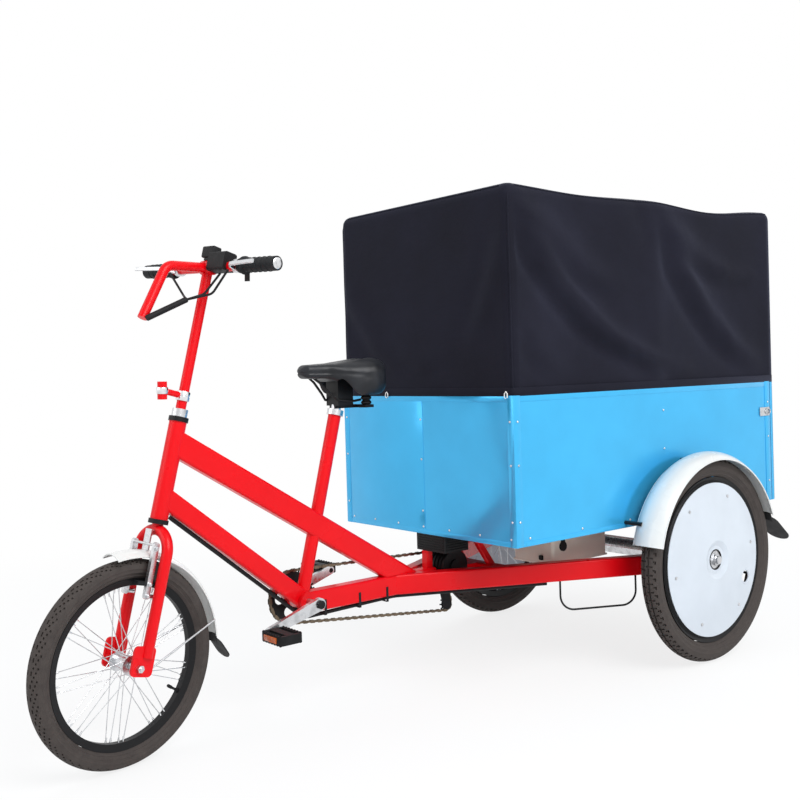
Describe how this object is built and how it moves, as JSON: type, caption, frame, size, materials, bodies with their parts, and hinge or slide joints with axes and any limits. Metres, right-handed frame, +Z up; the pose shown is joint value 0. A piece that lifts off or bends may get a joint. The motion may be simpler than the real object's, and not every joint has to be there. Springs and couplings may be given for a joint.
{
  "type": "electric cargo tricycle",
  "caption": "Electric pedal cargo tricycle with a step-through tube frame, spread rear chassis, sheet load box with fabric hood, tailgate, disc-covered rear wheels and fenders.",
  "frame": {"origin": "on the ground under the middle of the overall box, between the wheels", "axes": "+X forward, +Y to the rider's left, +Z up"},
  "size_m": [2.5542, 1.028, 1.4441],
  "materials": {
    "frame_red": "gloss enamel",
    "axle_steel": "zinc-plated",
    "black_metal": "satin black",
    "chain_steel": "oiled",
    "battery_case": "satin grey",
    "black_plastic": "matte",
    "grip_rubber": "matte",
    "sheet_blue": "gloss enamel",
    "floor_board": "satin",
    "hood_fabric": "woven matte",
    "fender_silver": "gloss silver-white",
    "cover_white": "satin white",
    "saddle_vinyl": "smooth vinyl",
    "tyre_rubber": "dusty"
  },
  "bodies": {
    "chassis": {"head_tube": "frame_red", "headset_cups": "black_metal", "top_tube": "frame_red", "down_tube": "frame_red", "seat_tube": "frame_red", "centre_beam": "frame_red", "chassis_rails": "frame_red", "cross_members": "frame_red", "axle_housing": "axle_steel", "drive_motor": "black_metal", "battery_box": "battery_case", "battery_socket": "black_plastic", "controller_box": "black_metal", "drive_chain": "chain_steel", "chain_idler": "black_metal", "frame_cables": "black_plastic", "box_floor": "floor_board", "box_front": "sheet_blue", "box_sides": "sheet_blue", "gate_hinges": "axle_steel", "hood_front": "hood_fabric", "hood_roof": "hood_fabric", "hood_sides": "hood_fabric", "hood_hoops": "black_metal", "rear_fenders": "fender_silver", "rear_mud_flaps": "black_plastic", "fender_brackets": "black_metal", "seat_post": "axle_steel", "saddle": "saddle_vinyl", "saddle_frame": "black_metal"},
    "steering": {"fork": "frame_red", "front_axle": "axle_steel", "headset_nut": "axle_steel", "handlebar": "frame_red", "grips": "grip_rubber", "brake_levers": "axle_steel", "bar_display": "black_plastic", "bar_cables": "black_plastic", "front_brake": "axle_steel", "brake_pads": "grip_rubber", "front_fender": "fender_silver", "front_mud_flap": "black_plastic", "fender_stays": "axle_steel"},
    "front_wheel": {"front_tyre": "tyre_rubber", "front_rim": "black_metal", "front_hub": "axle_steel"},
    "rear_wheel_left": {"rear_tyre_left": "tyre_rubber", "rear_rim_left": "black_metal", "rear_hub_left": "axle_steel", "wheel_cover_left": "cover_white"},
    "rear_wheel_right": {"rear_tyre_right": "tyre_rubber", "rear_rim_right": "black_metal", "rear_hub_right": "axle_steel", "wheel_cover_right": "cover_white"},
    "crank": {"cranks": "axle_steel", "chainring": "black_metal"},
    "pedal_left": {"pedal_left": "black_plastic"},
    "pedal_right": {"pedal_right": "black_plastic"},
    "tailgate": {"tailgate": "sheet_blue"}
  },
  "joints": [
    {"name": "steer", "type": "hinge", "parent": "chassis", "child": "steering", "pos_m": [1.01048, 0, 0.24763], "axis": [-0.2504, 0, 0.9681], "range_deg": [-55.2, 34.8]},
    {"name": "front_wheel_spin", "type": "hinge", "parent": "steering", "child": "front_wheel", "pos_m": [1.02763, 0.00319, 0.25206], "axis": [-0.1714, 0.9842, -0.0443], "continuous": true},
    {"name": "rear_wheel_left_spin", "type": "hinge", "parent": "chassis", "child": "rear_wheel_left", "pos_m": [-0.7201, 0.462, 0.31813], "axis": [0, 1, 0], "continuous": true},
    {"name": "rear_wheel_right_spin", "type": "hinge", "parent": "chassis", "child": "rear_wheel_right", "pos_m": [-0.7201, -0.462, 0.31813], "axis": [0, 1, 0], "continuous": true},
    {"name": "crank_spin", "type": "hinge", "parent": "chassis", "child": "crank", "pos_m": [0.5059, 0, 0.32013], "axis": [0, 1, 0], "continuous": true},
    {"name": "pedal_left_spin", "type": "hinge", "parent": "crank", "child": "pedal_left", "pos_m": [0.66451, 0.084, 0.27465], "axis": [0, 1, 0], "continuous": true},
    {"name": "pedal_right_spin", "type": "hinge", "parent": "crank", "child": "pedal_right", "pos_m": [0.3473, -0.084, 0.36561], "axis": [0, 1, 0], "continuous": true},
    {"name": "tailgate_hinge", "type": "hinge", "parent": "chassis", "child": "tailgate", "pos_m": [-1.2681, 0, 0.43513], "axis": [0, -1, 0], "range_deg": [0, 180]}
  ]
}
